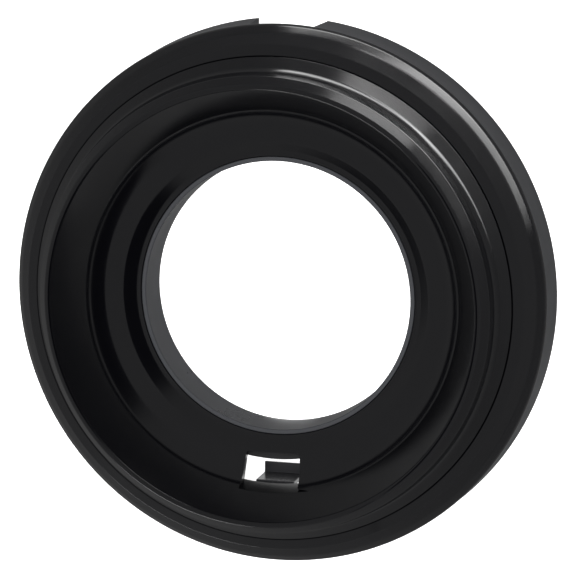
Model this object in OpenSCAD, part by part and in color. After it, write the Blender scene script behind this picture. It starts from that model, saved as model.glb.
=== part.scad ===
// Throat collar of a kitchen garbage disposal.
// The origin is the centre of the back plane, +Z runs along the throat towards the sink,
// +Y points at the notch in the skirt and -Y at the latch window.

/* [Overall] */
// Diameter of the throat that runs through the collar
throat_d = 88.9; // [70:0.1:95]
// Diameter of the trim ring at its widest edge
ring_d = 177.8; // [170:0.1:215]
// Height of the rear skirt
skirt_h = 14; // [12:0.5:18]
// Height of the stepped cover, from the skirt to the crest
cover_h = 25.4; // [24:0.2:31]

/* [Walls] */
// Wall of the funnel cover
cover_wall = 2.4; // [1.8:0.1:3]
// Wall of the trim ring
trim_wall = 2.2; // [1.8:0.1:2.8]
// Wall of the skirt
skirt_wall = 2.6; // [2:0.1:3.2]
// Wall of the throat sleeve
sleeve_wall = 1.5; // [1.2:0.1:2.4]
// Gap left between the sleeve, the web and the gasket
sleeve_gap = 0.15; // [0.1:0.05:0.3]
// Width of the visible seam between the trim ring and the funnel cover
seam_gap = 0.3; // [0.2:0.05:0.5]

/* [Trim ring] */
// Width of the outer tier, from the widest edge to the tread
tier_w = 6; // [5:0.1:7]
// Height of the outer tier
tier_h = 8.5; // [7:0.1:9]
// Straight height of the rim above the skirt
rim_h = 1.6; // [1:0.1:3]
// Radius of the rim's rounded edge
rim_round = 3.5; // [2:0.1:4]
// Width of the tread
tread_w = 3.7; // [3:0.1:4.5]
// Rise of the tread towards the throat
tread_rise = 1.5; // [0.5:0.1:2]
// Thickness of the trim ring's inner flange
flange_t = 2; // [1.6:0.1:2.6]

/* [Funnel cover] */
// Width of the inner tier
inner_tier_w = 4.2; // [3.5:0.1:5]
// Height of the inner tier
inner_tier_h = 5.7; // [4.5:0.1:6.2]
// Height of the upright face below the lip
lip_h = 5.6; // [4:0.1:6.5]
// Draft of the upright face, as a width
lip_draft = 0.7; // [0.4:0.1:1.2]
// Width of the sloping lip, from its shoulder to the crest
lip_w = 3.5; // [2.5:0.1:4]
// Width of the funnel wall, from the crest to the web
funnel_w = 10; // [8:0.1:12]
// Depth of the funnel, from the crest to the web
funnel_h = 18.8; // [16:0.1:21]
// Rise of the web from the throat to the funnel wall, between the funnel and the cove
web_rise = 2.6; // [1:0.1:3.2]
// Distance from the throat's wall to the top of the cove round it
cove_out = 6.7; // [6:0.1:8]
// Distance from the throat's wall to the foot of that cove
cove_in = 3.1; // [2.5:0.1:4]
// Depth of the cove
cove_drop = 2.4; // [1.5:0.1:3]

/* [Window and latch] */
// Width of the window at its throat side
window_w = 18; // [15:0.5:22]
// Reach of the window into the web, from the web's outer corner
window_in = 9.3; // [8.5:0.1:9.6]
// Reach of the window into the funnel wall, from the same corner
window_out = 2.6; // [2:0.1:3]
// Width of the latch
latch_w = 13; // [11:0.5:15]
// Thickness of the latch's shelf
latch_t = 1.6; // [1.2:0.1:2]
// Length of the latch's shelf
latch_l = 11; // [9:0.1:12]
// Height of the barb above the shelf
barb_h = 3.5; // [2.5:0.1:4]
// Diameter of the latch pin
pin_d = 2; // [1.6:0.1:2.4]
// Radial clearance of the latch on its pin
pin_clear = 0.05; // [0.02:0.01:0.1]

/* [Skirt] */
// Flare of the skirt towards the back, as a radius
skirt_flare = 1.2; // [0.5:0.1:2]
// Width of the notch at the trim ring
notch_w = 21.4; // [16:0.1:26]
// Extra width of the notch at the back, on its slanted side
notch_slant = 1.9; // [0:0.1:3]
// Height of the skirt's inner flange above the back
ledge_z = 8; // [7:0.1:9]
// Thickness of that flange
ledge_t = 2.4; // [1.8:0.1:3]

/* [Fasteners] */
// Number of screws that hold the skirt, none of them at the notch or the latch
cover_screw_n = 6; // [6, 10]
// Diameter of the skirt screws
cover_screw_d = 3.2; // [2.8:0.1:3.8]
// Number of screws that hold the sleeve
sleeve_screw_n = 4; // [4]
// Diameter of the sleeve screws
sleeve_screw_d = 2.2; // [2:0.1:2.6]

/* [Hidden] */
$fn = 96;

eps = 0.01;
over = 60;

// Radii and heights of the profile, from the outside in
throat_r = throat_d / 2;
ring_r = ring_d / 2;
crest_z = skirt_h + cover_h;
tread_r = ring_r - tier_w;
tread_z = skirt_h + tier_h;
seam_r = tread_r - tread_w;
seam_z = tread_z + tread_rise;
foot_r = seam_r - inner_tier_w;
foot_z = seam_z + inner_tier_h;
shoulder_r = foot_r - lip_draft;
shoulder_z = foot_z + lip_h;
crest_r = shoulder_r - lip_w;
corner_r = crest_r - funnel_w;
corner_z = crest_z - funnel_h;
cove_r = throat_r + cove_out;
cove_z = corner_z - web_rise;
land_r = throat_r + cove_in;
land_z = cove_z - cove_drop;

// The sleeve, its flange and the gasket
sleeve_r = throat_r + sleeve_wall;
web_edge_r = sleeve_r + sleeve_gap;
sleeve_top_z = land_z;
clamp_t = 1.8;
clamp_w = 8.2;
clamp_r = sleeve_r + clamp_w;
gasket_t = 2.2;
clamp_z = land_z - cover_wall - gasket_t;
sleeve_boss_r = 2.5;
sleeve_bolt_r = sleeve_r + clamp_w / 2;

// The inner flange of the trim ring and the screws that pass through it
flange_z = seam_z - 2.5;
cover_boss_r = 3.5;
cover_bolt_r = seam_r - 3;
flange_in_r = cover_bolt_r - cover_boss_r + 0.9;
ledge_in_r = cover_bolt_r - cover_boss_r - 1;
skirt_in_r = ring_r - skirt_wall;

// The latch, its pin, ears and spring, in the plane x = 0
shelf_y = -(corner_r + 0.9);
shelf_out_y = shelf_y - latch_t;
pin_y = shelf_out_y - 3.4;
latch_top_z = corner_z - 5;
pin_z = latch_top_z - 3.4;
pin_r = pin_d / 2;
barrel_r = pin_r + 1.2;
barrel_l = 8;
ear_t = 2;
ear_in_x = latch_w / 2 + 0.7;
tail_top_z = ledge_z + ledge_t + 0.3 + 2;
spring_r = 1.5;
spring_y = pin_y - barrel_r - 0.3 - spring_r;
spring_wire_r = 0.2;
spring_top_z = flange_z + 0.1;
clip_t = 0.6;

function unit(v) = v / norm(v);
function cross_z(a, b) = a.x * b.y - a.y * b.x;

// An arc of radius r in the corner b between the points a and c
function fillet(a, b, c, r, steps = 6) =
    let (
        u = unit(a - b),
        v = unit(c - b),
        half = acos(u * v) / 2,
        centre = b + unit(u + v) * r / sin(half),
        start = b + u * r / tan(half) - centre,
        turn = (180 - 2 * half) * sign(cross_z(b - a, c - b))
    )
    [for (i = [0 : steps]) let (t = turn * i / steps)
        centre + [start.x * cos(t) - start.y * sin(t), start.x * sin(t) + start.y * cos(t)]];

// A path with each inner corner rounded to its own radius, 0 leaving it sharp
function rounded(points, radii) = [
    for (i = [0 : len(points) - 1])
        each (i == 0 || i == len(points) - 1 || radii[i] == 0)
            ? [points[i]]
            : fillet(points[i - 1], points[i], points[i + 1], radii[i])
];

// The left-hand normal of the stretch from a to b
function normal(a, b) = let (d = unit(b - a)) [-d.y, d.x];

// A path moved sideways by t, with mitred corners
function beside(points, t) = [
    for (i = [0 : len(points) - 1])
        let (
            n1 = normal(points[max(i - 1, 0)], points[max(i, 1)]),
            n2 = normal(points[min(i, len(points) - 2)], points[min(i + 1, len(points) - 1)])
        )
        points[i] + t * (n1 + n2) / (1 + n1 * n2)
];

function reversed(points) = [for (i = [len(points) - 1 : -1 : 0]) points[i]];

// Copies the children n times round the throat, the first one at the angle first
module around(n, first = 0) {
    for (i = [0 : n - 1])
        rotate([0, 0, first + i * 360 / n]) children();
}

// A pan-head screw with a cross recess, its head's underside at z = 0 and its shank upwards
module pan_screw(shank_r, shank_l, head_r, head_h) {
    difference() {
        union() {
            rotate_extrude() polygon(concat(
                [[0, 0]],
                rounded([[0, -head_h], [head_r, -head_h], [head_r, 0]], [0, head_h * 0.6, 0]),
                [[0, 0]]));
            translate([0, 0, -eps]) cylinder(r = shank_r, h = shank_l - shank_r + eps);
            translate([0, 0, shank_l - shank_r - eps])
                cylinder(r1 = shank_r, r2 = shank_r * 0.3, h = shank_r);
        }
        for (turn = [0, 90])
            rotate([0, 0, turn]) translate([-head_r * 0.55, -head_r * 0.12, -head_h - eps])
                cube([head_r * 1.1, head_r * 0.24, head_h * 0.55]);
    }
}

// The front face of the funnel cover, from the throat out to the seam
cover_path = [
    [web_edge_r, land_z], [land_r, land_z], [cove_r, cove_z], [corner_r, corner_z],
    [crest_r, crest_z], [shoulder_r, shoulder_z], [foot_r, foot_z], [seam_r, seam_z + 0.3]
];
cover_radii = [0, 2.5, 2.5, 0, 0.8, 0.8, 1.6, 0];
cover_back = beside(cover_path, -cover_wall);

// The front face of the trim ring, from the seam out to the skirt
trim_path = [
    [seam_r + seam_gap, seam_z], [tread_r, tread_z],
    [ring_r, skirt_h + rim_h], [ring_r, skirt_h]
];
trim_radii = [0, 0.5, rim_round, 0];

// The window's outline on the web, drawn straight through along Z
module window_shape(grow = 0) {
    top_y = -(corner_r - window_in) + grow;
    half_w = window_w / 2 + grow;
    low_y = -(corner_r + 8);
    outline = [
        [0, top_y], [-half_w, top_y], [-half_w - 1.2, low_y],
        [half_w + 1.2, low_y], [half_w, top_y], [0, top_y]
    ];
    polygon(rounded(outline, [0, 1, 0, 0, 1, 0]));
}

// What the window takes out of the cover: wider to one side where it meets the funnel wall
module window_cut() {
    flare = 3.6;
    out_z = corner_z + 4.9;
    difference() {
        union() {
            linear_extrude(height = crest_z) window_shape();
            translate([0, -corner_r - 1, 0]) rotate([90, 0, 0])
                linear_extrude(height = 8) polygon([
                    [0, corner_z - 4], [window_w / 2 + 0.6, corner_z - 3],
                    [window_w / 2 + 1.2 + flare, out_z], [0, out_z]
                ]);
        }
        rotate_extrude() polygon([
            [corner_r + window_out - 3.2, 0], [corner_r + window_out - 1.6, corner_z - 2.6],
            [corner_r + window_out, out_z], [corner_r + window_out, crest_z + 1],
            [ring_r, crest_z + 1], [ring_r, 0]
        ]);
    }
}

// The two ears that carry the latch pin, and the bar between them that backs the spring
module latch_ears() {
    ear_y = pin_y - barrel_r - 0.7;
    ear_h = spring_top_z + 2 - (pin_z - barrel_r - 0.3);
    for (side = [-1, 1])
        translate([side * (ear_in_x + ear_t / 2), 0, 0])
            difference() {
                translate([-ear_t / 2, ear_y, pin_z - barrel_r - 0.3])
                    cube([ear_t, -corner_r - 3 - ear_y, ear_h]);
                translate([-ear_t, pin_y, pin_z]) rotate([0, 90, 0])
                    cylinder(r = pin_r + pin_clear / 2, h = 2 * ear_t);
            }
    bar_y = spring_y - spring_r - spring_wire_r;
    translate([-ear_in_x - ear_t, bar_y, spring_top_z])
        cube([2 * (ear_in_x + ear_t), -corner_r - 2.9 - bar_y, 2]);
}

module trim_ring() {
    color("#16171a")
    difference() {
        rotate_extrude() {
            polygon(concat(
                rounded(trim_path, trim_radii),
                [[ring_r - trim_wall, skirt_h], [ring_r - trim_wall, skirt_h + rim_h - 0.9],
                 [tread_r - 1, flange_z - 1], [tread_r - 1, flange_z - flange_t],
                 [flange_in_r, flange_z - flange_t], [flange_in_r, flange_z],
                 [seam_r + seam_gap, flange_z]]));
        }
        around(cover_screw_n) translate([cover_bolt_r, 0, flange_z - flange_t - 1])
            cylinder(r = cover_boss_r + 0.2, h = flange_t + 2);
    }
}

// Everything behind the middle of the funnel cover's wall, which trims its bosses
module under_cover() {
    rotate_extrude() polygon(concat(
        [[web_edge_r + 1, 0]],
        beside(cover_path, -cover_wall / 2),
        [[seam_r - 0.3, seam_z - 1], [seam_r - 0.3, 0]]));
}

module funnel_cover() {
    skin = [for (i = [0 : 6]) cover_back[i]];
    color("#16171a") {
        difference() {
            union() {
                rotate_extrude() polygon(concat(
                    rounded(cover_path, cover_radii),
                    [[seam_r, flange_z], [seam_r - 2.4, flange_z]],
                    reversed(skin)));
                intersection() {
                    union() {
                        around(cover_screw_n)
                            translate([cover_bolt_r, 0, ledge_z + ledge_t])
                            cylinder(r = cover_boss_r, h = foot_z - ledge_z - ledge_t);
                        around(sleeve_screw_n, 45)
                            translate([sleeve_bolt_r, 0, clamp_z])
                            cylinder(r = sleeve_boss_r, h = cove_z - 1 - clamp_z);
                    }
                    under_cover();
                }
            }
            window_cut();
            around(cover_screw_n) translate([cover_bolt_r, 0, ledge_z])
                cylinder(r = cover_screw_d / 2 + 0.02, h = seam_z - 3 - ledge_z);
            around(sleeve_screw_n, 45) translate([sleeve_bolt_r, 0, clamp_z - 1])
                cylinder(r = sleeve_screw_d / 2 + 0.02, h = 4.4);
        }
        latch_ears();
    }
}

module rear_skirt() {
    tongue_r = ring_r - trim_wall - 0.1;
    tongue_h = 1.6;
    color("#3a3b3d")
    difference() {
        rotate_extrude() polygon([
            [ring_r + skirt_flare - 0.3, 0], [skirt_in_r + skirt_flare - 0.3, 0],
            [skirt_in_r, ledge_z], [ledge_in_r, ledge_z], [ledge_in_r, ledge_z + ledge_t],
            [skirt_in_r - 1.4, ledge_z + ledge_t], [skirt_in_r - 1.4, skirt_h + tongue_h],
            [tongue_r - 1.1, skirt_h + tongue_h], [tongue_r, skirt_h + 0.6], [tongue_r, skirt_h],
            [ring_r - 0.3, skirt_h]
        ]);
        around(cover_screw_n) translate([cover_bolt_r, 0, ledge_z - 1])
            cylinder(r = cover_screw_d / 2 + 0.3, h = ledge_t + 2);
        skirt_notch();
    }
}

// The notch through the skirt, square on one side and slanted on the other
module skirt_notch() {
    near_y = ledge_in_r - 1;
    translate([0, near_y + over, 0]) rotate([90, 0, 0])
        linear_extrude(height = over) polygon([
            [-notch_w / 2, -1], [notch_w / 2 + notch_slant, -1], [notch_w / 2 + notch_slant, 0],
            [notch_w / 2, skirt_h], [notch_w / 2, skirt_h + 4], [-notch_w / 2, skirt_h + 4]
        ]);
}

module throat_sleeve() {
    color("#4a4b4d")
    difference() {
        rotate_extrude() polygon([
            [throat_r, 0], [sleeve_r, 0], [sleeve_r, clamp_z - clamp_t],
            [clamp_r, clamp_z - clamp_t], [clamp_r, clamp_z], [sleeve_r, clamp_z],
            [sleeve_r, sleeve_top_z - 0.3], [sleeve_r - 0.3, sleeve_top_z],
            [throat_r + 0.4, sleeve_top_z], [throat_r, sleeve_top_z - 0.4]
        ]);
        around(sleeve_screw_n, 45) translate([sleeve_bolt_r, 0, clamp_z - clamp_t - 1])
            cylinder(r = sleeve_screw_d / 2 + 0.2, h = clamp_t + 2);
        linear_extrude(height = clamp_z + 1) window_shape(0.3);
    }
}

module throat_gasket() {
    color("#202122")
    difference() {
        rotate_extrude() intersection() {
            translate([web_edge_r, clamp_z]) square([clamp_w, cover_h]);
            polygon(concat([for (i = [0 : 3]) cover_back[i]], [[corner_r, 0], [web_edge_r, 0]]));
        }
        around(sleeve_screw_n, 45) translate([sleeve_bolt_r, 0, clamp_z - 1])
            cylinder(r = sleeve_boss_r + 0.1, h = cover_h);
        linear_extrude(height = crest_z) window_shape(0.1);
    }
}

module release_latch() {
    shelf_z = latch_top_z - latch_l;
    tail_y = -(ledge_in_r + 1.2);
    color("#1c1d1f")
    difference() {
        union() {
            translate([-latch_w / 2, shelf_out_y, shelf_z])
                cube([latch_w, latch_t, latch_l]);
            translate([-latch_w / 2 + 0.3, 0, 0]) rotate([90, 0, 90])
                linear_extrude(height = latch_w - 0.6) polygon([
                    [shelf_out_y, shelf_z], [shelf_y + barb_h - 0.8, shelf_z - latch_t],
                    [shelf_y + barb_h, shelf_z - latch_t + 0.8], [shelf_y + barb_h, shelf_z],
                    [shelf_y + 0.1, shelf_z + 0.1], [shelf_out_y, shelf_z + 0.1]
                ]);
            translate([-barrel_l / 2, pin_y, pin_z - barrel_r])
                cube([barrel_l, shelf_out_y - pin_y + eps, 2 * barrel_r]);
            translate([-barrel_l / 2, pin_y, pin_z]) rotate([0, 90, 0])
                cylinder(r = barrel_r, h = barrel_l);
            translate([-3, tail_y, tail_top_z - 2]) cube([6, pin_y - tail_y, 2]);
        }
        translate([-barrel_l, pin_y, pin_z]) rotate([0, 90, 0])
            cylinder(r = pin_r + pin_clear, h = 2 * barrel_l);
    }
}

module latch_pin() {
    pin_l = 2 * (ear_in_x + ear_t + clip_t + 0.8);
    color("silver")
    translate([-pin_l / 2, pin_y, pin_z]) rotate([0, 90, 0])
        cylinder(r = pin_r, h = pin_l);
}

// Height of the coil's centre line after t turns: its end turns lie closed
function coil_z(t, turns, live_pitch) =
    let (dead_pitch = 2 * spring_wire_r + 0.02)
    min(t, 1) * dead_pitch + max(min(t - 1, turns - 2), 0) * live_pitch
        + max(t - turns + 1, 0) * dead_pitch;

module latch_spring() {
    turns = 6;
    sides = 6;
    steps = 14 * turns;
    free_l = spring_top_z - tail_top_z - 0.1;
    live_pitch = (free_l - 2 * spring_wire_r - 2 * (2 * spring_wire_r + 0.02)) / (turns - 2);
    coil_r = spring_r - spring_wire_r;
    points = [
        for (i = [0 : steps], j = [0 : sides - 1])
            let (
                t = turns * i / steps,
                a = 360 * t,
                b = 360 * j / sides,
                r = coil_r + spring_wire_r * cos(b)
            )
            [r * cos(a), r * sin(a), coil_z(t, turns, live_pitch) + spring_wire_r * sin(b)]
    ];
    last = steps * sides;
    faces = concat(
        [[for (j = [0 : sides - 1]) j]],
        [for (i = [0 : steps - 1], j = [0 : sides - 1])
            let (k = (j + 1) % sides)
            [i * sides + j, (i + 1) * sides + j, (i + 1) * sides + k, i * sides + k]],
        [[for (j = [sides - 1 : -1 : 0]) last + j]]
    );
    color("silver")
    translate([0, spring_y, tail_top_z + 0.05 + spring_wire_r]) polyhedron(points, faces);
}

module pin_clips() {
    color("dimgray")
    for (side = [-1, 1])
        translate([side * (ear_in_x + ear_t + 0.1 + clip_t / 2), pin_y, pin_z]) rotate([0, 90, 0])
            difference() {
                cylinder(r = pin_r + 1.4, h = clip_t, center = true);
                cylinder(r = pin_r, h = 2 * clip_t, center = true);
                translate([-pin_r * 0.6, -2 * pin_r - 2, -clip_t])
                    cube([pin_r * 1.2, 2 * pin_r + 2, 2 * clip_t]);
            }
}

module cover_screws() {
    color("silver")
    around(cover_screw_n) translate([cover_bolt_r, 0, ledge_z])
        pan_screw(cover_screw_d / 2, seam_z - 4 - ledge_z, cover_screw_d, 2.3);
}

module sleeve_screws() {
    color("silver")
    around(sleeve_screw_n, 45) translate([sleeve_bolt_r, 0, clamp_z - clamp_t])
        pan_screw(sleeve_screw_d / 2, clamp_t + 3, sleeve_screw_d * 0.95, 1.6);
}

trim_ring();
funnel_cover();
rear_skirt();
throat_sleeve();
throat_gasket();
release_latch();
latch_pin();
latch_spring();
pin_clips();
cover_screws();
sleeve_screws();
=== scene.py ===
"""Throat collar of a kitchen garbage disposal: moulded covers, skirt, sleeve, gasket and a sprung latch."""

import logging
import math
from dataclasses import dataclass
from enum import Enum
from typing import Sequence

import bmesh
import bpy
from mathutils import Matrix, Vector


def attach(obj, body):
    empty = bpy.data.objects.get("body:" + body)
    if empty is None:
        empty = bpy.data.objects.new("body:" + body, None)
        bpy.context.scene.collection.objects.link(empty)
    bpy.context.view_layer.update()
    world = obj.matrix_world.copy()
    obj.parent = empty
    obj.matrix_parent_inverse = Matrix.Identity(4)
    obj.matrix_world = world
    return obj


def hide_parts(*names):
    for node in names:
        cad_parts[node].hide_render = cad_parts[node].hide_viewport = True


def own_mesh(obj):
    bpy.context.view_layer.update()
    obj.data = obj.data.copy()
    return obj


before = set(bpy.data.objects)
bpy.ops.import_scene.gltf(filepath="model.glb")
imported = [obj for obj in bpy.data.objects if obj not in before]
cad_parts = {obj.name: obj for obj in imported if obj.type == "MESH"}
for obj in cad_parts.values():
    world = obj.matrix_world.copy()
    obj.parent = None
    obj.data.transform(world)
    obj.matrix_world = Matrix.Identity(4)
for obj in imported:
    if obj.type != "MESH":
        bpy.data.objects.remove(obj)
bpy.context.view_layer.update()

MM = 0.001
FULL_TURN = 2 * math.pi
QUARTER_TURN = math.pi / 2
WELD = 1e-5
UP = Vector((0, 0, 1))

log = logging.getLogger("collar")


class Body(Enum):
    """The two bodies of the mechanism."""

    COLLAR = "collar"
    LATCH = "latch"


class Slot(Enum):
    """The record's material slots."""

    GLOSS_BLACK = "gloss_black"
    SKIRT_BLACK = "skirt_black"
    SLEEVE_BLACK = "sleeve_black"
    GASKET_RUBBER = "gasket_rubber"
    LATCH_BLACK = "latch_black"
    PIN_STEEL = "pin_steel"
    SPRING_STEEL = "spring_steel"
    CLIP_STEEL = "clip_steel"
    SCREW_STEEL = "screw_steel"


# Finishes


def linear(hex_colour: str) -> tuple[float, float, float, float]:
    """Turns an sRGB hex colour into linear light.

    Args:
        hex_colour: The colour as "#rrggbb".

    Returns:
        The linear red, green, blue and an alpha of 1.
    """
    shares = [int(hex_colour[i : i + 2], 16) / 255 for i in (1, 3, 5)]
    light = [s / 12.92 if s <= 0.04045 else ((s + 0.055) / 1.055) ** 2.4 for s in shares]
    return (*light, 1.0)


def add_node(material: bpy.types.Material, kind: str, settings: dict, links: dict) -> bpy.types.Node:
    """Adds a shader node with its settings and incoming links.

    Args:
        material: The material that the node goes into.
        kind: The node's type, such as "ShaderNodeTexNoise".
        settings: Values by input name, or by property name where the node has no such input.
        links: Output sockets by the name of the input that they feed.

    Returns:
        The new node.
    """
    node = material.node_tree.nodes.new(kind)
    for key, value in settings.items():
        if key in node.inputs:
            node.inputs[key].default_value = value
        else:
            setattr(node, key, value)
    for key, socket in links.items():
        material.node_tree.links.new(socket, node.inputs[key])
    return node


def blank(name: str) -> bpy.types.Material:
    """Makes a material with an empty node tree."""
    material = bpy.data.materials.new(name)
    material.use_nodes = True
    material.node_tree.nodes.clear()
    return material


@dataclass(frozen=True)
class Moulded:
    """A moulded polymer, and the surface that its mould gave it. Grain and waves are in millimetres."""

    name: str
    colour: str
    ior: float
    roughness: float
    roughness_spread: float
    grain_size: float
    grain_depth: float
    wave_size: float
    wave_depth: float

    def material(self) -> bpy.types.Material:
        """Builds the material, or returns the one that is there already.

        Returns:
            The Blender material.
        """
        if self.name in bpy.data.materials:
            return bpy.data.materials[self.name]
        mat = blank(self.name)
        where = add_node(mat, "ShaderNodeTexCoord", {}, {}).outputs["Object"]
        patches = add_node(
            mat, "ShaderNodeTexNoise",
            {"Scale": 1 / (self.wave_size * 2 * MM), "Detail": 3.0, "Roughness": 0.6}, {"Vector": where})
        sheen = add_node(
            mat, "ShaderNodeMapRange",
            {"From Min": 0.3, "From Max": 0.7, "To Min": self.roughness - self.roughness_spread,
             "To Max": self.roughness + self.roughness_spread}, {"Value": patches.outputs["Fac"]})
        waves = add_node(
            mat, "ShaderNodeTexNoise",
            {"Scale": 1 / (self.wave_size * MM), "Detail": 1.0}, {"Vector": where})
        grain = add_node(
            mat, "ShaderNodeTexNoise",
            {"Scale": 1 / (self.grain_size * MM), "Detail": 2.0, "Roughness": 0.65}, {"Vector": where})
        swell = add_node(
            mat, "ShaderNodeBump",
            {"Strength": 1.0, "Distance": self.wave_depth * MM}, {"Height": waves.outputs["Fac"]})
        skin = add_node(
            mat, "ShaderNodeBump",
            {"Strength": 1.0, "Distance": self.grain_depth * MM},
            {"Height": grain.outputs["Fac"], "Normal": swell.outputs["Normal"]})
        shader = add_node(
            mat, "ShaderNodeBsdfPrincipled",
            {"Base Color": linear(self.colour), "IOR": self.ior, "Metallic": 0.0},
            {"Roughness": sheen.outputs["Result"], "Normal": skin.outputs["Normal"]})
        add_node(mat, "ShaderNodeOutputMaterial", {}, {"Surface": shader.outputs["BSDF"]})
        return mat


@dataclass(frozen=True)
class Metal:
    """A bare or plated metal with fine scratches. Scratch width and depth are in millimetres."""

    name: str
    colour: str
    roughness: float
    scratch_width: float
    scratch_depth: float
    stretch: tuple[float, float, float]

    def material(self) -> bpy.types.Material:
        """Builds the material, or returns the one that is there already.

        Returns:
            The Blender material.
        """
        if self.name in bpy.data.materials:
            return bpy.data.materials[self.name]
        mat = blank(self.name)
        where = add_node(mat, "ShaderNodeTexCoord", {}, {}).outputs["Object"]
        drawn = add_node(mat, "ShaderNodeMapping", {"Scale": self.stretch}, {"Vector": where})
        lines = add_node(
            mat, "ShaderNodeTexNoise",
            {"Scale": 1 / (self.scratch_width * MM), "Detail": 2.0}, {"Vector": drawn.outputs["Vector"]})
        dulling = add_node(
            mat, "ShaderNodeMapRange",
            {"From Min": 0.3, "From Max": 0.7, "To Min": self.roughness * 0.8,
             "To Max": self.roughness * 1.25}, {"Value": lines.outputs["Fac"]})
        bump = add_node(
            mat, "ShaderNodeBump",
            {"Strength": 0.6, "Distance": self.scratch_depth * MM}, {"Height": lines.outputs["Fac"]})
        shader = add_node(
            mat, "ShaderNodeBsdfPrincipled",
            {"Base Color": linear(self.colour), "Metallic": 1.0},
            {"Roughness": dulling.outputs["Result"], "Normal": bump.outputs["Normal"]})
        add_node(mat, "ShaderNodeOutputMaterial", {}, {"Surface": shader.outputs["BSDF"]})
        return mat


@dataclass(frozen=True)
class Paint:
    """A plain even colour for the floor and the studio's cards, with a glow: on the floor an even brightness,
    on the cards a painted reflection.
    """

    name: str
    colour: str
    roughness: float
    glow: float = 0.0

    def material(self) -> bpy.types.Material:
        """Builds the material."""
        mat = blank(self.name)
        shader = add_node(
            mat, "ShaderNodeBsdfPrincipled",
            {"Base Color": linear(self.colour), "Roughness": self.roughness, "Specular IOR Level": 0.0,
             "Emission Color": linear("#ffffff"), "Emission Strength": self.glow}, {})
        add_node(mat, "ShaderNodeOutputMaterial", {}, {"Surface": shader.outputs["BSDF"]})
        return mat


# Gloss ABS from a polished mould: reflections a little soft, with the slow waves that moulding leaves.
GLOSS_ABS = Moulded("abs_polished_mould", "#050507", 1.53, 0.18, 0.03, 0.5, 0.0003, 9.0, 0.004)
# ABS from a lightly spark-eroded mould: an even satin with a fine grain, drawn coarse enough to show.
SATIN_ABS = Moulded("abs_spark_eroded_mould", "#202124", 1.53, 0.34, 0.05, 0.35, 0.006, 12.0, 0.01)
# Glass-filled polypropylene, stoned mould: a softer satin, a little greyer.
SATIN_PP = Moulded("polypropylene_stoned_mould", "#333437", 1.49, 0.3, 0.05, 0.3, 0.004, 10.0, 0.01)
# Moulded nitrile rubber: deep matt black with a faint bloom.
NITRILE = Moulded("nitrile_rubber_moulded", "#1c1c1d", 1.52, 0.62, 0.08, 0.25, 0.01, 6.0, 0.02)
# Acetal: slippery and semi-gloss, its edges slightly waxy.
ACETAL = Moulded("acetal_moulded", "#2b2b2d", 1.48, 0.24, 0.05, 0.4, 0.002, 5.0, 0.01)
# Stainless pin, ground round: rings round its length.
GROUND_STAINLESS = Metal("stainless_steel_ground", "#b9bab8", 0.25, 0.12, 0.002, (6.0, 1.0, 1.0))
# Music wire, drawn: bright, with fine lines along the wire.
DRAWN_WIRE = Metal("music_wire_drawn", "#a9a8a4", 0.3, 0.1, 0.001, (1.0, 1.0, 3.0))
# Phosphated spring steel: a dark dull grey.
PHOSPHATED = Metal("spring_steel_phosphated", "#4a4a4c", 0.45, 0.15, 0.003, (1.0, 1.0, 1.0))
# Zinc plate with a clear passivate: a pale blue-grey sheen.
ZINC_PLATE = Metal("steel_zinc_plated", "#b4bac2", 0.28, 0.2, 0.002, (1.0, 1.0, 1.0))


# Near-black card that only reflections see: a painted dark reflection that darkens the gloss on one side.
PAINTED_DARK_REFLECTION = Paint("flag_black_felt", "#030303", 0.9)
# Black card with a full white glow that only reflections see: a painted bright reflection under the window.
PAINTED_BRIGHT_REFLECTION = Paint("card_white_backlit", "#030303", 0.9, 1.0)
# Black card with a weak glow that only reflections see: a painted dim reflection under the floor, standing in
# for the floor's own reflection.
PAINTED_DIM_REFLECTION = Paint("card_grey_backlit", "#030303", 0.9, 0.21)


# Mesh tools


@dataclass(frozen=True)
class Corner:
    """A corner of a section: across the axis, along it, and its rounding radius, in millimetres."""

    r: float
    z: float
    round: float = 0.0


def beside(corners: Sequence[Corner], gap: float) -> list[Corner]:
    """Offsets an open path to its right, as the back of a wall of even thickness.

    Args:
        corners: The path's corners.
        gap: The wall's thickness.

    Returns:
        The offset path's corners, in the same order and without rounding.
    """
    moved = []
    for i, corner in enumerate(corners):
        before, after = corners[max(i - 1, 0)], corners[min(i + 1, len(corners) - 1)]
        here = Vector((corner.r, corner.z))
        come = here - Vector((before.r, before.z)) if i else Vector((after.r, after.z)) - here
        leave = Vector((after.r, after.z)) - here if i < len(corners) - 1 else come
        normals = [Vector((d.y, -d.x)).normalized() for d in (come, leave)]
        shift = (normals[0] + normals[1]) * gap / (1 + normals[0].dot(normals[1]))
        moved.append(Corner(here.x + shift.x, here.y + shift.y))
    return moved


def draw_section(corners: Sequence[Corner], arc_steps: int = 6) -> bmesh.types.BMesh:
    """Draws a closed section in the XZ plane and rounds its corners.

    Args:
        corners: The corners in order.
        arc_steps: How many chords each rounding has.

    Returns:
        A new bmesh that holds the outline's edges.
    """
    bm = bmesh.new()
    verts = [bm.verts.new((c.r, 0, c.z)) for c in corners]
    for here, after in zip(verts, verts[1:] + verts[:1]):
        bm.edges.new((here, after))
    for i, corner in enumerate(corners):
        if corner.round <= 0:
            continue
        here = Vector((corner.r, corner.z))
        before, after = corners[i - 1], corners[(i + 1) % len(corners)]
        arms = [Vector((c.r, c.z)) - here for c in (before, after)]
        reach = corner.round / math.tan(arms[0].angle(arms[1]) / 2)
        bmesh.ops.bevel(
            bm, geom=[verts[i]], affect="VERTICES", offset=reach, offset_type="OFFSET",
            segments=arc_steps, profile=0.5, material=-1)
    return bm


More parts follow.
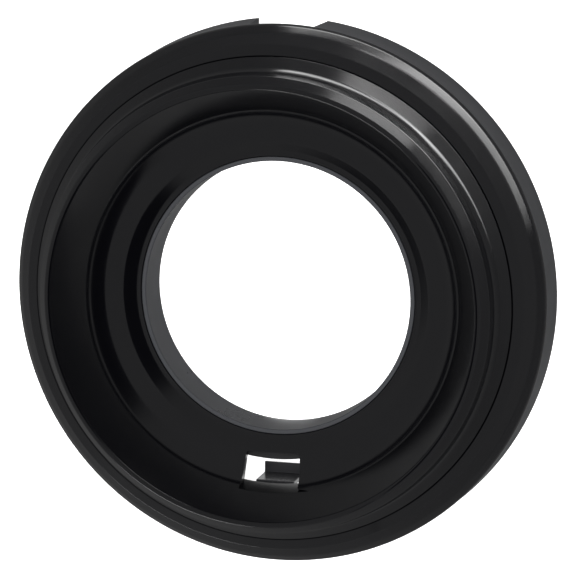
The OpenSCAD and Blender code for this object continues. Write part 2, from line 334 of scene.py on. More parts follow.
def turn(corners: Sequence[Corner], steps: int = 288, arc_steps: int = 6) -> bmesh.types.BMesh:
    """Turns a section once round the Z axis.

    Args:
        corners: The section's corners.
        steps: How many steps the turn has.
        arc_steps: How many chords each rounded corner has.

    Returns:
        The closed mesh, with its faces pointing outwards.
    """
    bm = draw_section(corners, arc_steps)
    bmesh.ops.spin(
        bm, geom=bm.verts[:] + bm.edges[:], cent=(0, 0, 0), axis=UP, dvec=(0, 0, 0),
        angle=FULL_TURN, steps=steps, use_merge=True, use_duplicate=False)
    bmesh.ops.remove_doubles(bm, verts=bm.verts, dist=WELD)
    bmesh.ops.recalc_face_normals(bm, faces=bm.faces)
    return bm


def push(corners: Sequence[Corner], length: float, arc_steps: int = 5) -> bmesh.types.BMesh:
    """Extrudes a section along Y, half to each side.

    Args:
        corners: The section's corners.
        length: The length of the extrusion.
        arc_steps: How many chords each rounded corner has.

    Returns:
        The closed mesh, with its faces pointing outwards.
    """
    bm = draw_section(corners, arc_steps)
    bmesh.ops.contextual_create(bm, geom=bm.edges[:])
    bmesh.ops.translate(bm, vec=(0, -length / 2, 0), verts=bm.verts)
    pushed = bmesh.ops.extrude_face_region(bm, geom=bm.faces[:])["geom"]
    bmesh.ops.translate(
        bm, vec=(0, length, 0), verts=[v for v in pushed if isinstance(v, bmesh.types.BMVert)])
    bmesh.ops.recalc_face_normals(bm, faces=bm.faces)
    return bm


def block(size: Sequence[float], centre: Sequence[float]) -> bmesh.types.BMesh:
    """Makes a box of a given size about a given centre."""
    bm = bmesh.new()
    bmesh.ops.create_cube(
        bm, size=1, matrix=Matrix.Translation(centre) @ Matrix.Diagonal((*size, 1)))
    return bm


def rod(radius: float, length: float, chamfer: float = 0.0, steps: int = 48) -> bmesh.types.BMesh:
    """Makes a solid cylinder up the Z axis from the origin, with both ends chamfered."""
    return turn([
        Corner(0, 0), Corner(radius, 0, chamfer), Corner(radius, length, chamfer), Corner(0, length)
    ], steps, 2)


def ease_edges(bm: bmesh.types.BMesh, width: float, sharper_than: float = 50.0) -> bmesh.types.BMesh:
    """Rounds every edge that is sharper than an angle.

    Args:
        bm: The mesh.
        width: How far each edge is cut back.
        sharper_than: The angle in degrees between the two faces.

    Returns:
        The same mesh.
    """
    sharp = [e for e in bm.edges if e.is_manifold and e.calc_face_angle() > math.radians(sharper_than)]
    bmesh.ops.bevel(
        bm, geom=sharp, affect="EDGES", offset=width, offset_type="OFFSET", segments=2,
        profile=0.5, material=-1, clamp_overlap=True)
    return bm


def moved(bm: bmesh.types.BMesh, matrix: Matrix) -> bmesh.types.BMesh:
    """Moves a mesh by a matrix and returns it."""
    bmesh.ops.transform(bm, matrix=matrix, verts=bm.verts)
    return bm


def spun(angle: float) -> Matrix:
    """The turn by an angle in degrees round the throat's axis."""
    return Matrix.Rotation(math.radians(angle), 4, "Z")


class Piece:
    """One piece of the collar while it is being made, in millimetres."""

    def __init__(self, name: str, bm: bmesh.types.BMesh) -> None:
        """Starts the piece from a mesh.

        Args:
            name: The piece's name.
            bm: Its first mesh, which is used up.
        """
        self.obj = self._object(name, bm)

    @staticmethod
    def _object(name: str, bm: bmesh.types.BMesh) -> bpy.types.Object:
        """Links a mesh into the scene as an object and frees the bmesh."""
        mesh = bpy.data.meshes.new(name)
        bm.to_mesh(mesh)
        bm.free()
        obj = bpy.data.objects.new(name, mesh)
        bpy.context.scene.collection.objects.link(obj)
        return obj

    def _combine(self, tool: bmesh.types.BMesh, operation: str) -> None:
        """Applies a boolean with a tool, which is used up."""
        other = self._object(f"{self.obj.name}_tool", tool)
        cut = self.obj.modifiers.new("combine", "BOOLEAN")
        cut.operation, cut.solver, cut.object = operation, "EXACT", other
        graph = bpy.context.evaluated_depsgraph_get()
        made = bpy.data.meshes.new_from_object(self.obj.evaluated_get(graph), depsgraph=graph)
        self.obj.modifiers.clear()
        old, self.obj.data = self.obj.data, made
        bpy.data.meshes.remove(old)
        bpy.data.objects.remove(other)

    def cut(self, *tools: bmesh.types.BMesh) -> "Piece":
        """Cuts tools out of the piece."""
        for tool in tools:
            self._combine(tool, "DIFFERENCE")
        return self

    def join(self, *tools: bmesh.types.BMesh) -> "Piece":
        """Fuses further shapes onto the piece."""
        for tool in tools:
            self._combine(tool, "UNION")
        return self

    def add(self, *shells: bmesh.types.BMesh) -> "Piece":
        """Adds separate shells, such as further screws, to the piece."""
        bm = bmesh.new()
        bm.from_mesh(self.obj.data)
        for shell in shells:
            extra = bpy.data.meshes.new("shell")
            shell.to_mesh(extra)
            shell.free()
            bm.from_mesh(extra)
            bpy.data.meshes.remove(extra)
        bm.to_mesh(self.obj.data)
        bm.free()
        return self

    def finish(self, body: Body, slot: Slot, finish: Moulded | Metal, nodes: Sequence[str],
               crease: float = 32.0) -> bpy.types.Object:
        """Scales the piece to metres, shades it, dresses it and hands it to its body.

        Args:
            body: The body that the piece rides on.
            slot: The record's material slot. Not used.
            finish: The finish that the piece wears.
            nodes: The solids that the piece stands for.
            crease: The angle in degrees past which an edge stays sharp.

        Returns:
            The finished object.
        """
        bm = bmesh.new()
        bm.from_mesh(self.obj.data)
        bmesh.ops.remove_doubles(bm, verts=bm.verts, dist=2e-4)
        bmesh.ops.dissolve_degenerate(bm, edges=bm.edges, dist=1e-4)
        bmesh.ops.scale(bm, vec=(MM, MM, MM), verts=bm.verts)
        for edge in bm.edges:
            edge.smooth = not edge.is_manifold or edge.calc_face_angle(0) < math.radians(crease)
        for face in bm.faces:
            face.smooth = True
            face.material_index = 0
        bm.to_mesh(self.obj.data)
        bm.free()
        self.obj.data.materials.clear()
        self.obj.data.materials.append(finish.material())
        shade = self.obj.modifiers.new("flat_faces_stay_flat", "WEIGHTED_NORMAL")
        shade.mode, shade.weight, shade.keep_sharp = "FACE_AREA", 50, True
        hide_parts(*nodes)
        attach(self.obj, body.value)
        log.info("%s: %d faces, %s", self.obj.name, len(self.obj.data.polygons), finish.name)
        return self.obj


# Sub-assemblies


@dataclass(frozen=True)
class Window:
    """The window through the web, over the latch."""

    half_w: float = 9.0
    top_y: float = -51.5
    corner_r: float = 60.8
    corner_z: float = 20.6
    out: float = 2.6
    flare: float = 3.6

    def shaft(self, grow: float, height: float) -> bmesh.types.BMesh:
        """The window's outline pushed straight up from the floor, grown by a gap."""
        low = -(self.corner_r + 8)
        bm = push([
            Corner(-self.half_w - grow, self.top_y + grow, 1.0), Corner(-self.half_w - grow - 1.2, low),
            Corner(self.half_w + grow + 1.2, low), Corner(self.half_w + grow, self.top_y + grow, 1.0),
        ], height)
        return moved(bm, Matrix.Translation((0, 0, height / 2)) @ Matrix.Rotation(QUARTER_TURN, 4, "X")
                     @ Matrix.Scale(-1, 4, (0, 0, 1)))

    def cover_cut(self) -> Piece:
        """What the window takes out of the funnel cover, wider to one side at the funnel wall."""
        out_z = self.corner_z + 4.9
        tool = Piece("window_tool", self.shaft(0, 45))
        wedge = push([
            Corner(0, self.corner_z - 4), Corner(self.half_w + 0.6, self.corner_z - 3),
            Corner(self.half_w + 1.2 + self.flare, out_z), Corner(0, out_z)], 8)
        tool.join(moved(wedge, Matrix.Translation((0, -self.corner_r - 5, 0))))
        keep = turn([
            Corner(self.corner_r + self.out - 3.2, -1),
            Corner(self.corner_r + self.out - 1.6, self.corner_z - 2.6),
            Corner(self.corner_r + self.out, out_z), Corner(self.corner_r + self.out, 60),
            Corner(120, 60), Corner(120, -1)])
        return tool.cut(keep)


@dataclass(frozen=True)
class TrimRing:
    """The outer ring: a rounded rim, a sloping tier, a tread and an inner flange for the screws."""

    ring_r: float = 88.9
    foot_z: float = 14.0
    rim_top: float = 15.6
    rim_round: float = 3.5
    tread: Corner = Corner(82.9, 22.5, 0.5)
    swell: Corner = Corner(86.4, 18.9, 10)
    seam: Corner = Corner(79.38, 24.0, 0.3)
    wall: float = 2.2
    flange_z: float = 21.5
    flange_t: float = 2.0
    bolt_r: float = 76.2
    bolt_n: int = 6
    boss_r: float = 3.5

    def build(self) -> Piece:
        """Turns the ring and notches its flange for the cover's bosses."""
        low = self.flange_z - self.flange_t
        flange_in = self.bolt_r - self.boss_r + 0.9
        piece = Piece("trim_ring_shell", turn([
            self.seam, self.tread, self.swell, Corner(self.ring_r, self.rim_top, self.rim_round),
            Corner(self.ring_r, self.foot_z, 0.25), Corner(self.ring_r - self.wall, self.foot_z, 0.15),
            Corner(self.ring_r - self.wall, self.rim_top - 0.9, 0.5),
            Corner(self.tread.r - 1, self.flange_z - 1, 0.4), Corner(self.tread.r - 1, low, 0.3),
            Corner(flange_in, low, 0.2), Corner(flange_in, self.flange_z, 0.2),
            Corner(self.seam.r, self.flange_z, 0.3)]))
        for i in range(self.bolt_n):
            hole = rod(self.boss_r + 0.2, self.flange_t + 2)
            seat = Matrix.Translation((self.bolt_r, 0, low - 1))
            piece.cut(moved(hole, spun(i * 360 / self.bolt_n) @ seat))
        return piece

    def dress(self) -> bpy.types.Object:
        """Builds the ring and gives it its gloss finish."""
        return self.build().finish(Body.COLLAR, Slot.GLOSS_BLACK, GLOSS_ABS, ["trim_ring"])


@dataclass(frozen=True)
class FunnelCover:
    """The stepped cover: web, funnel wall, lip and inner tier, with its bosses and the latch's ears."""

    wall: float = 2.4
    web_in_r: float = 46.1
    land: Corner = Corner(47.55, 15.6, 2.5)
    cove: Corner = Corner(51.15, 18.0, 2.5)
    corner: Corner = Corner(60.8, 20.6, 9)
    crest: Corner = Corner(70.8, 39.68, 1.2)
    shoulder: Corner = Corner(74.3, 35.3, 0.8)
    foot: Corner = Corner(74.8, 29.3, 7)
    seam: Corner = Corner(79.2, 24.2, 0.3)
    skirt_z: float = 21.5
    bolt_r: float = 76.2
    bolt_n: int = 6
    boss_r: float = 3.5
    boss_hole_r: float = 1.62
    boss_foot: float = 10.4
    sleeve_bolt_r: float = 50.05
    sleeve_bolt_n: int = 4
    sleeve_boss_r: float = 2.5
    sleeve_boss_foot: float = 11.0
    window: Window = Window()

    def path(self) -> list[Corner]:
        """The front face, from the throat out to the seam."""
        return [Corner(self.web_in_r, self.land.z, 0.25), self.land, self.cove, self.corner,
                self.crest, self.shoulder, self.foot, self.seam]

    def bosses(self) -> list[bmesh.types.BMesh]:
        """The tubes that the screws bite into, trimmed inside the wall that they hang from."""
        made = []
        slope = Vector((self.foot.z - self.seam.z, 0, self.seam.r - self.foot.r)).normalized()
        for i in range(self.bolt_n):
            tube = turn([
                Corner(self.boss_hole_r, self.boss_foot, 0.2), Corner(self.boss_r, self.boss_foot, 0.2),
                Corner(self.boss_r, self.foot.z), Corner(self.boss_hole_r, self.foot.z)], 48, 2)
            moved(tube, Matrix.Translation((self.bolt_r, 0, 0)))
            cuts = [(Vector((self.seam.r, 0, self.seam.z)) - slope * 1.2, slope),
                    (Vector((self.seam.r - 0.4, 0, 0)), Vector((1, 0, 0)))]
            for point, normal in cuts:
                edge = bmesh.ops.bisect_plane(
                    tube, geom=tube.verts[:] + tube.edges[:] + tube.faces[:], dist=WELD,
                    plane_co=point, plane_no=normal, clear_outer=True)
                bmesh.ops.holes_fill(
                    tube, edges=[e for e in edge["geom_cut"] if isinstance(e, bmesh.types.BMEdge)], sides=0)
            bmesh.ops.recalc_face_normals(tube, faces=tube.faces)
            made.append(moved(tube, spun(i * 360 / self.bolt_n)))
        for i in range(self.sleeve_bolt_n):
            post = rod(self.sleeve_boss_r, self.land.z - 0.7 - self.sleeve_boss_foot, 0.15, 36)
            made.append(moved(post, spun(45 + i * 360 / self.sleeve_bolt_n) @ Matrix.Translation(
                (self.sleeve_bolt_r, 0, self.sleeve_boss_foot))))
        return made

    def build(self) -> Piece:
        """Turns the cover and cuts the window."""
        front = self.path()
        back = beside(front[:-1], self.wall)
        piece = Piece("funnel_cover_shell", turn([
            *front, Corner(self.seam.r, self.skirt_z, 0.2), Corner(self.seam.r - 2.4, self.skirt_z, 0.2),
            *[Corner(c.r, c.z, 0.4 if 0 < i < 6 else 0) for i, c in reversed(list(enumerate(back)))]]))
        tool = self.window.cover_cut()
        bm = bmesh.new()
        bm.from_mesh(tool.obj.data)
        bpy.data.objects.remove(tool.obj)
        piece.cut(bm)
        return piece

    def dress(self) -> bpy.types.Object:
        """Builds the cover and gives it its gloss finish."""
        ears = LatchEars().parts()
        return self.build().add(*self.bosses(), *ears).finish(
            Body.COLLAR, Slot.GLOSS_BLACK, GLOSS_ABS, ["funnel_cover"])


@dataclass(frozen=True)
class LatchEars:
    """The two ears under the cover that carry the latch pin, and the bar that backs the spring."""

    inner_x: float = 7.2
    thick: float = 2.0
    pin_y: float = -66.7
    pin_z: float = 12.2
    pin_r: float = 1.0
    barrel_r: float = 2.2
    top_z: float = 23.6
    bar_t: float = 2.0
    bar_y: float = -72.4
    root_y: float = -63.8

    def parts(self) -> list[bmesh.types.BMesh]:
        """Builds both ears and the bar.

        Returns:
            One mesh for each.
        """
        front, foot = self.pin_y - self.barrel_r - 0.7, self.pin_z - self.barrel_r - 0.3
        made = []
        for side in (-1, 1):
            ear = Piece("ear", ease_edges(block(
                (self.thick, self.root_y - front, self.top_z - foot),
                (side * (self.inner_x + self.thick / 2), (self.root_y + front) / 2, (self.top_z + foot) / 2)),
                0.3))
            ear.cut(moved(rod(self.pin_r + 0.03, self.thick * 2), Matrix.Translation(
                (side * (self.inner_x + self.thick / 2) - self.thick, self.pin_y, self.pin_z))
                @ Matrix.Rotation(QUARTER_TURN, 4, "Y")))
            bm = bmesh.new()
            bm.from_mesh(ear.obj.data)
            bpy.data.objects.remove(ear.obj)
            made.append(bm)
        made.append(ease_edges(block(
            (2 * (self.inner_x + self.thick), self.root_y - self.bar_y, self.bar_t),
            (0, (self.root_y + self.bar_y) / 2, self.top_z - self.bar_t / 2)), 0.25))
        return made


@dataclass(frozen=True)
class RearSkirt:
    """The skirt behind the trim ring, with a tongue, a screw flange and a notch."""

    ring_r: float = 88.9
    height: float = 14.0
    wall: float = 2.6
    flare: float = 1.2
    ledge_z: float = 8.0
    ledge_t: float = 2.4
    ledge_in_r: float = 71.7
    tongue_r: float = 86.6
    notch_w: float = 21.4
    notch_slant: float = 1.9
    bolt_r: float = 76.2
    bolt_n: int = 6
    bolt_hole_r: float = 1.9

    def build(self) -> Piece:
        """Turns the skirt, then cuts its screw holes and its notch."""
        inner, foot_r = self.ring_r - self.wall, self.ring_r + self.flare - 0.3
        shelf = self.ledge_z + self.ledge_t
        piece = Piece("skirt_shell", turn([
            Corner(foot_r, 0, 0.35), Corner(foot_r - self.wall, 0, 0.3), Corner(inner, self.ledge_z, 0.5),
            Corner(self.ledge_in_r, self.ledge_z, 0.3), Corner(self.ledge_in_r, shelf, 0.3),
            Corner(inner - 1.4, shelf, 0.5), Corner(inner - 1.4, self.height + 1.6, 0.15),
            Corner(self.tongue_r - 1.1, self.height + 1.6, 0.15), Corner(self.tongue_r, self.height + 0.6),
            Corner(self.tongue_r, self.height, 0.1), Corner(self.ring_r - 0.3, self.height, 0.25)]))
        for i in range(self.bolt_n):
            piece.cut(moved(rod(self.bolt_hole_r, self.ledge_t + 2), spun(i * 360 / self.bolt_n)
                            @ Matrix.Translation((self.bolt_r, 0, self.ledge_z - 1))))
        half = self.notch_w / 2
        notch = push([
            Corner(-half, -1), Corner(half + self.notch_slant, -1), Corner(half + self.notch_slant, 0),
            Corner(half, self.height), Corner(half, self.height + 4), Corner(-half, self.height + 4)], 60)
        piece.cut(moved(notch, Matrix.Translation((0, self.ledge_in_r - 1 + 30, 0))))
        return piece

    def dress(self) -> bpy.types.Object:
        """Builds the skirt and gives it its satin finish."""
        return self.build().finish(Body.COLLAR, Slot.SKIRT_BLACK, SATIN_ABS, ["rear_skirt"])


@dataclass(frozen=True)
class ThroatSleeve:
    """The sleeve that lines the throat, and the flange that clamps the gasket."""

    throat_r: float = 44.45
    sleeve_r: float = 45.95
    top_z: float = 15.6
    clamp_z: float = 11.0
    clamp_t: float = 1.8
    clamp_r: float = 54.15
    bolt_r: float = 50.05
    bolt_n: int = 4
    bolt_hole_r: float = 1.3
    window: Window = Window()

    def build(self) -> Piece:
        """Turns the sleeve, then cuts its screw holes and its gap under the window."""
        under = self.clamp_z - self.clamp_t
        piece = Piece("throat_sleeve_shell", turn([
            Corner(self.throat_r, 0, 0.3), Corner(self.sleeve_r, 0, 0.3), Corner(self.sleeve_r, under, 0.5),
            Corner(self.clamp_r, under, 0.25), Corner(self.clamp_r, self.clamp_z, 0.25),
            Corner(self.sleeve_r, self.clamp_z), Corner(self.sleeve_r, self.top_z, 0.3),
            Corner(self.throat_r, self.top_z, 0.4)]))
        for i in range(self.bolt_n):
            piece.cut(moved(rod(self.bolt_hole_r, self.clamp_t + 2), spun(45 + i * 360 / self.bolt_n)
                            @ Matrix.Translation((self.bolt_r, 0, under - 1))))
        return piece.cut(self.window.shaft(0.3, self.clamp_z + 1))

    def dress(self) -> bpy.types.Object:
        """Builds the sleeve and gives it its satin finish."""
        return self.build().finish(Body.COLLAR, Slot.SLEEVE_BLACK, SATIN_PP, ["throat_sleeve"])


@dataclass(frozen=True)
class ThroatGasket:
    """The rubber ring between the cover's web and the sleeve's flange."""

    inner_r: float = 46.1
    outer_r: float = 54.3
    foot_z: float = 11.0
    boss_r: float = 2.6
    bolt_r: float = 50.05
    bolt_n: int = 4
    window: Window = Window()

    def build(self) -> Piece:
        """Turns the ring to fit under the cove, then cuts its boss holes and its gap."""
        cover = FunnelCover()
        back = beside(cover.path()[:-1], cover.wall)
        slope = (back[3].z - back[2].z) / (back[3].r - back[2].r)
        edge_z = back[2].z + (self.outer_r - back[2].r) * slope
        piece = Piece("throat_gasket_ring", turn([
            Corner(self.inner_r, self.foot_z, 0.2), Corner(self.outer_r, self.foot_z, 0.3),
            Corner(self.outer_r, edge_z, 0.3), Corner(back[2].r, back[2].z, 0.5),
            Corner(back[1].r, back[1].z, 0.5), Corner(self.inner_r, back[0].z, 0.1)]))
        for i in range(self.bolt_n):
            piece.cut(moved(rod(self.boss_r, 20), spun(45 + i * 360 / self.bolt_n)
                            @ Matrix.Translation((self.bolt_r, 0, self.foot_z - 1))))
        return piece.cut(self.window.shaft(0.1, 40))

    def dress(self) -> bpy.types.Object:
        """Builds the gasket and gives it its rubber finish."""
        return self.build().finish(Body.COLLAR, Slot.GASKET_RUBBER, NITRILE, ["throat_gasket"])


@dataclass(frozen=True)
class ReleaseLatch:
    """The latch: an upright shelf with a barb, a barrel on the pin and a tail for the spring."""

    width: float = 13.0
    shelf_y: float = -61.7
    thick: float = 1.6
    top_z: float = 15.6
    length: float = 11.0
    barb_h: float = 3.5
    pin_y: float = -66.7
    pin_z: float = 12.2
    pin_r: float = 1.0
    barrel_r: float = 2.2
    barrel_l: float = 8.0
    tail_w: float = 6.0
    tail_y: float = -72.9
    tail_top: float = 12.7

    def build(self) -> Piece:
        """Pushes the shelf and barb, then fuses the barrel and the tail."""
        out_y, low = self.shelf_y - self.thick, self.top_z - self.length
        flip = Matrix.Rotation(QUARTER_TURN, 4, "Z")
        shelf = push([
            Corner(out_y, self.top_z, 0.3), Corner(out_y, low),
            Corner(self.shelf_y + self.barb_h - 0.8, low - self.thick),
            Corner(self.shelf_y + self.barb_h, low - 0.8, 0.2), Corner(self.shelf_y + self.barb_h, low, 0.2),
            Corner(self.shelf_y, low, 0.3), Corner(self.shelf_y, self.top_z, 0.3)], self.width)
        piece = Piece("release_latch_lever", ease_edges(moved(shelf, flip), 0.2, 60))
        lug = block((self.barrel_l, out_y - self.pin_y + 0.4, 2 * self.barrel_r),
                    (0, (self.pin_y + out_y + 0.4) / 2, self.pin_z))
        barrel = moved(rod(self.barrel_r, self.barrel_l, 0.25), Matrix.Translation(
            (-self.barrel_l / 2, self.pin_y, self.pin_z)) @ Matrix.Rotation(QUARTER_TURN, 4, "Y"))
        tail = ease_edges(block((self.tail_w, self.pin_y - self.tail_y, 2.0),
                                (0, (self.pin_y + self.tail_y) / 2, self.tail_top - 1.0)), 0.3)
        bore = moved(rod(self.pin_r + 0.05, 2 * self.barrel_l), Matrix.Translation(
            (-self.barrel_l, self.pin_y, self.pin_z)) @ Matrix.Rotation(QUARTER_TURN, 4, "Y"))
        return piece.join(lug, barrel, tail).cut(bore)

    def dress(self) -> bpy.types.Object:
        """Builds the latch and gives it its acetal finish."""
        return self.build().finish(Body.LATCH, Slot.LATCH_BLACK, ACETAL, ["release_latch"])


@dataclass(frozen=True)
class LatchPin:
    """The latch's pin and the two retaining rings that hold it between the ears."""

    radius: float = 1.0
    half_length: float = 10.6
    y: float = -66.7
    z: float = 12.2
    clip_x: float = 9.3
    clip_t: float = 0.6
    clip_r: float = 2.4
    clip_gap: float = 70.0

    def lying(self, x: float) -> Matrix:
        """The place of something turned onto the pin's axis at x."""
        return Matrix.Translation((x, self.y, self.z)) @ Matrix.Rotation(QUARTER_TURN, 4, "Y")

    def pin(self) -> Piece:
        """Turns the pin with chamfered ends and a groove under each ring."""
        groove = [(self.clip_x, self.radius), (self.clip_x, self.radius - 0.15),
                  (self.clip_x + self.clip_t, self.radius - 0.15), (self.clip_x + self.clip_t, self.radius)]
        corners = [Corner(0, -self.half_length), Corner(self.radius, -self.half_length, 0.3)]
        corners += [Corner(r, -x) for x, r in reversed(groove)] + [Corner(r, x) for x, r in groove]
        corners += [Corner(self.radius, self.half_length, 0.3), Corner(0, self.half_length)]
        return Piece("latch_pin_rod", moved(turn(corners, 64, 3), self.lying(0)))

    def ring(self, x: float) -> bmesh.types.BMesh:
        """Bends one open retaining ring and sets it at x."""
        bm = draw_section([
            Corner(self.radius - 0.12, 0, 0.05), Corner(self.clip_r, 0, 0.1),
            Corner(self.clip_r, self.clip_t, 0.1), Corner(self.radius - 0.12, self.clip_t, 0.05)], 2)
        bmesh.ops.contextual_create(bm, geom=bm.edges[:])
        bmesh.ops.spin(
            bm, geom=bm.faces[:] + bm.edges[:] + bm.verts[:], cent=(0, 0, 0), axis=UP, dvec=(0, 0, 0),
            angle=math.radians(360 - self.clip_gap), steps=40, use_merge=False, use_duplicate=False)
        bmesh.ops.remove_doubles(bm, verts=bm.verts, dist=WELD)
        bmesh.ops.recalc_face_normals(bm, faces=bm.faces)
        opening = spun(90 + self.clip_gap / 2)
        return moved(bm, self.lying(x) @ opening)

    def dress(self) -> list[bpy.types.Object]:
        """Builds the pin and both rings and dresses them."""
        pin = self.pin().finish(Body.COLLAR, Slot.PIN_STEEL, GROUND_STAINLESS, ["latch_pin"])
        rings = Piece("pin_clip_rings", self.ring(self.clip_x)).add(self.ring(-self.clip_x - self.clip_t))
        return [pin, rings.finish(Body.COLLAR, Slot.CLIP_STEEL, PHOSPHATED, ["pin_clips"])]


@dataclass(frozen=True)
class LatchSpring:
    """The compression spring that holds the latch home. Its end turns lie closed."""

    radius: float = 1.5
    wire_r: float = 0.2
    turns: int = 6
    y: float = -70.7
    foot_z: float = 12.75
    top_z: float = 21.6
    joint: str = "latch_hinge"
    keep: float = 0.72

    def build(self) -> Piece:
        """Winds the wire in three stretches: a closed turn, the live turns and a closed turn."""
        coil_r, closed = self.radius - self.wire_r, 2 * self.wire_r + 0.02
        live = self.top_z - self.foot_z - 2 * self.wire_r - 2 * closed
        bm = bmesh.new()
        bmesh.ops.create_circle(
            bm, cap_ends=True, segments=12, radius=self.wire_r,
            matrix=Matrix.Translation((coil_r, 0, self.foot_z + self.wire_r))
            @ Matrix.Rotation(QUARTER_TURN, 4, "X"))
        last = bm.verts[:] + bm.edges[:] + bm.faces[:]
        for turns, rise in ((1, closed), (self.turns - 2, live), (1, closed)):
            steps = 40 * turns
            last = bmesh.ops.spin(
                bm, geom=last, cent=(0, 0, 0), axis=UP, dvec=(0, 0, rise / steps),
                angle=FULL_TURN * turns, steps=steps, use_merge=False, use_duplicate=False)["geom_last"]
        bmesh.ops.remove_doubles(bm, verts=bm.verts, dist=WELD)
        bmesh.ops.recalc_face_normals(bm, faces=bm.faces)
        return Piece("latch_spring_coil", moved(bm, Matrix.Translation((0, self.y, 0))))

    def dress(self) -> bpy.types.Object:
        """Builds the spring, dresses it and gives it a mesh of its own."""
        spring = self.build().finish(Body.COLLAR, Slot.SPRING_STEEL, DRAWN_WIRE, ["latch_spring"])
        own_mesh(spring)
        return spring


@dataclass(frozen=True)
class ScrewSet:
    """A ring of equal pan-head screws with cross recesses and coarse threads for plastic."""

    name: str
    node: str
    count: int
    first: float
    circle_r: float
    seat_z: float
    shank_r: float
    shank_l: float
    head_r: float
    head_h: float
    pitch: float

    def screw(self) -> bmesh.types.BMesh:
        """Turns one screw with its head's underside at the origin, and cuts its recess."""
        core = self.shank_r * 0.78
        body = Piece("screw", turn([
            Corner(0, -self.head_h), Corner(self.head_r, -self.head_h, self.head_h * 0.6),
            Corner(self.head_r, 0, 0.1), Corner(core, 0, 0.1),
            Corner(core, self.shank_l - self.shank_r), Corner(core * 0.3, self.shank_l, 0.1),
            Corner(0, self.shank_l)], 48, 5))
        reach, slot = self.head_r * 1.1, self.head_r * 0.24
        for size in ((reach, slot), (slot, reach)):
            body.cut(block((*size, self.head_h * 1.1), (0, 0, -self.head_h)))
        bm = bmesh.new()
        bm.from_mesh(body.obj.data)
        bpy.data.objects.remove(body.obj)
        self.cut_thread(bm, core)
        return bm

    def cut_thread(self, bm: bmesh.types.BMesh, core: float) -> None:
        """Winds the thread's ridge round the core.

        Args:
            bm: The screw's mesh, which the ridge is added to.
            core: The radius of the core.
        """
        start, half = 0.6, self.pitch * 0.28
        ridge = [bm.verts.new(p) for p in (
            (core - 0.05, 0, start - half), (self.shank_r, 0, start), (core - 0.05, 0, start + half))]
        face = bm.faces.new(ridge)
        turns = max(1, int((self.shank_l - self.shank_r - start - half) / self.pitch))
        steps = 24 * turns
        bmesh.ops.spin(
            bm, geom=[face, *face.edges, *ridge], cent=(0, 0, 0), axis=UP,
            dvec=(0, 0, turns * self.pitch / steps), angle=FULL_TURN * turns, steps=steps,
            use_merge=False, use_duplicate=False)
        bmesh.ops.remove_doubles(bm, verts=bm.verts, dist=WELD)
        bmesh.ops.recalc_face_normals(bm, faces=bm.faces)

    def dress(self) -> bpy.types.Object:
        """Builds every screw of the set, each one turned a little differently, as driven by hand."""
        screws = []
        for i in range(self.count):
            seat = Matrix.Translation((self.circle_r, 0, self.seat_z))
            place = spun(self.first + i * 360 / self.count) @ seat
            screws.append(moved(self.screw(), place @ spun(i * 37)))
        return Piece(self.name, screws[0]).add(*screws[1:]).finish(
            Body.COLLAR, Slot.SCREW_STEEL, ZINC_PLATE, [self.node])


COVER_SCREWS = ScrewSet("cover_screw_set", "cover_screws", 6, 0, 76.2, 8.0, 1.6, 12.0, 3.2, 2.3, 1.3)
SLEEVE_SCREWS = ScrewSet("sleeve_screw_set", "sleeve_screws", 4, 45, 50.05, 9.2, 1.1, 4.8, 2.09, 1.6, 0.9)


# Studio


@dataclass(frozen=True)
class Softbox:
    """One soft light: where it stands, what it aims at, its size in metres and its power in watts."""

    name: str
    place: tuple[float, float, float]
    aim: tuple[float, float, float]
    size: tuple[float, float]
    power: float
    in_gloss: bool

    def set_up(self) -> None:
        """Adds the light to the scene."""
        light = bpy.data.lights.new(self.name, "AREA")
        light.shape, light.size, light.size_y = "RECTANGLE", *self.size
        light.energy = self.power
        lamp = bpy.data.objects.new(self.name, light)
        lamp.location = self.place
        lamp.rotation_mode = "QUATERNION"
        lamp.rotation_quaternion = (Vector(self.aim) - Vector(self.place)).to_track_quat("-Z", "Y")
        lamp.visible_camera, lamp.visible_glossy = False, self.in_gloss
        bpy.context.scene.collection.objects.link(lamp)


@dataclass(frozen=True)
class Card:
    """A card that only reflections see: a painted reflection, dark or glowing, that sets how dark or bright
    the gloss is. Sizes are in metres.
    """

    name: str
    place: tuple[float, float, float]
    size: tuple[float, float]
    coat: Paint
    stands: bool

    def set_up(self) -> None:
        """Lays the card down, or stands it up across the X axis."""
        bm = bmesh.new()
        tilt = Matrix.Rotation(math.radians(90 if self.stands else 0), 4, "Y")
        bmesh.ops.create_grid(
            bm, x_segments=1, y_segments=1, size=0.5,
            matrix=tilt @ Matrix.Diagonal((*reversed(self.size), 1, 1)))
        card = Piece(self.name, moved(bm, Matrix.Translation(self.place))).obj
        card.data.materials.append(self.coat.material())
        card.visible_camera = card.visible_diffuse = card.visible_shadow = False


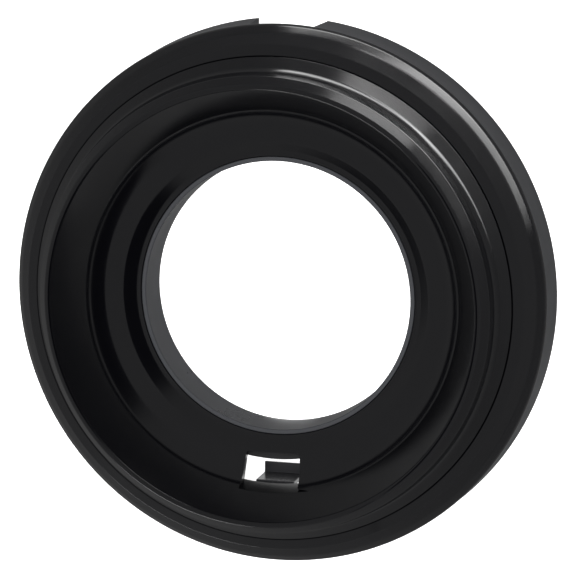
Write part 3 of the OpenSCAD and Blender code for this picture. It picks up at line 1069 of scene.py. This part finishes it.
@dataclass(frozen=True)
class Studio:
    """A pale glowing floor, soft lights, cards for the reflections, and the camera, all in metres."""

    floor: Paint = Paint("floor_matt_white", "#f8f8f8", 0.8, 1.0)
    floor_half: float = 3.0
    surround: str = "#ffffff"
    upper_strength: float = 0.32
    lower_strength: float = 0.19
    horizon_half: float = 0.1
    # Painted reflections: a dark card on one side, a glowing card under the window, and a dimly glowing card
    # under the whole floor.
    cards: tuple[Card, ...] = (
        Card("near_painted_dark_reflection", (0.04, -0.045, 0.175), (0.17, 0.25), PAINTED_DARK_REFLECTION, True),
        Card("window_painted_reflection", (0, -0.058, -0.002), (0.03, 0.06), PAINTED_BRIGHT_REFLECTION, False),
        Card("under_painted_reflection", (0, 0, -0.004), (8, 8), PAINTED_DIM_REFLECTION, False),
    )
    lens: float = 186.5
    sensor: float = 36.0
    camera_place: tuple[float, float, float] = (0.2443, 0.1832, 0.9434)
    camera_right: tuple[float, float, float] = (0.9677, 0.0086, -0.2520)
    camera_up: tuple[float, float, float] = (-0.0549, 0.9826, -0.1771)
    camera_back: tuple[float, float, float] = (0.2460, 0.1852, 0.9514)
    lights: tuple[Softbox, ...] = (
        Softbox("overhead_fill", (0.1, 0.1, 2.2), (0, 0, 0), (2.4, 2.4), 85, False),
        Softbox("low_strip", (0.27, 0.5, 0.0008), (0.27, 0.5, 1), (0.35, 0.8), 7, True),
        Softbox("foot_strip", (0.07, 0.15, 0.0008), (0.07, 0.15, 1), (0.16, 0.05), 0.2, True),
        Softbox("rim_strip", (0.45, 1.05, 0.07), (0, 0, 0.03), (0.6, 0.05), 0.7, True),
        Softbox("far_strip", (-0.5, -0.87, 0.1), (0, 0, 0.04), (0.5, 0.12), 1.2, True),
    )

    def set_up(self) -> None:
        """Builds the floor, the surround, the lights, the cards and the camera."""
        bm = bmesh.new()
        bmesh.ops.create_grid(bm, x_segments=1, y_segments=1, size=self.floor_half)
        ground = Piece("floor", bm).obj
        ground.data.materials.append(self.floor.material())
        # The floor is left out of reflections; the dimly glowing card under it is painted in as its
        # reflection.
        ground.visible_glossy = False
        self.set_surround()
        for light in self.lights:
            light.set_up()
        for card in self.cards:
            card.set_up()
        self.set_camera()
        bpy.context.scene.view_settings.view_transform = "Standard"

    def set_surround(self) -> None:
        """Fills the room with even light that is weaker below the horizon than above it."""
        world = bpy.data.worlds.new("studio_surround")
        bpy.context.scene.world = world
        world.use_nodes = True
        tree = world.node_tree
        air = tree.nodes["Background"]
        air.inputs["Color"].default_value = linear(self.surround)
        look = tree.nodes.new("ShaderNodeTexCoord")
        axes = tree.nodes.new("ShaderNodeSeparateXYZ")
        fade = tree.nodes.new("ShaderNodeMapRange")
        span = {"From Min": -self.horizon_half, "From Max": self.horizon_half,
                "To Min": self.lower_strength, "To Max": self.upper_strength}
        for name, value in span.items():
            fade.inputs[name].default_value = value
        tree.links.new(look.outputs["Generated"], axes.inputs["Vector"])
        tree.links.new(axes.outputs["Z"], fade.inputs["Value"])
        tree.links.new(fade.outputs["Result"], air.inputs["Strength"])

    def set_camera(self) -> None:
        """Places the camera by its own three axes."""
        data = bpy.data.cameras.new("camera")
        data.lens, data.sensor_width = self.lens, self.sensor
        data.clip_start, data.clip_end = 0.01, 20
        camera = bpy.data.objects.new("camera", data)
        turned = Matrix((self.camera_right, self.camera_up, self.camera_back)).transposed()
        camera.matrix_world = Matrix.LocRotScale(Vector(self.camera_place), turned.to_quaternion(), None)
        bpy.context.scene.collection.objects.link(camera)
        bpy.context.scene.camera = camera


def main() -> None:
    """Builds the collar from the outside in, then its studio."""
    logging.basicConfig(level=logging.INFO, format="%(name)s %(message)s")
    Studio().set_up()
    for part in (TrimRing(), FunnelCover(), RearSkirt(), ThroatSleeve(), ThroatGasket(), ReleaseLatch(),
                 LatchPin(), LatchSpring(), COVER_SCREWS, SLEEVE_SCREWS):
        part.dress()


if __name__ == "__main__":
    main()
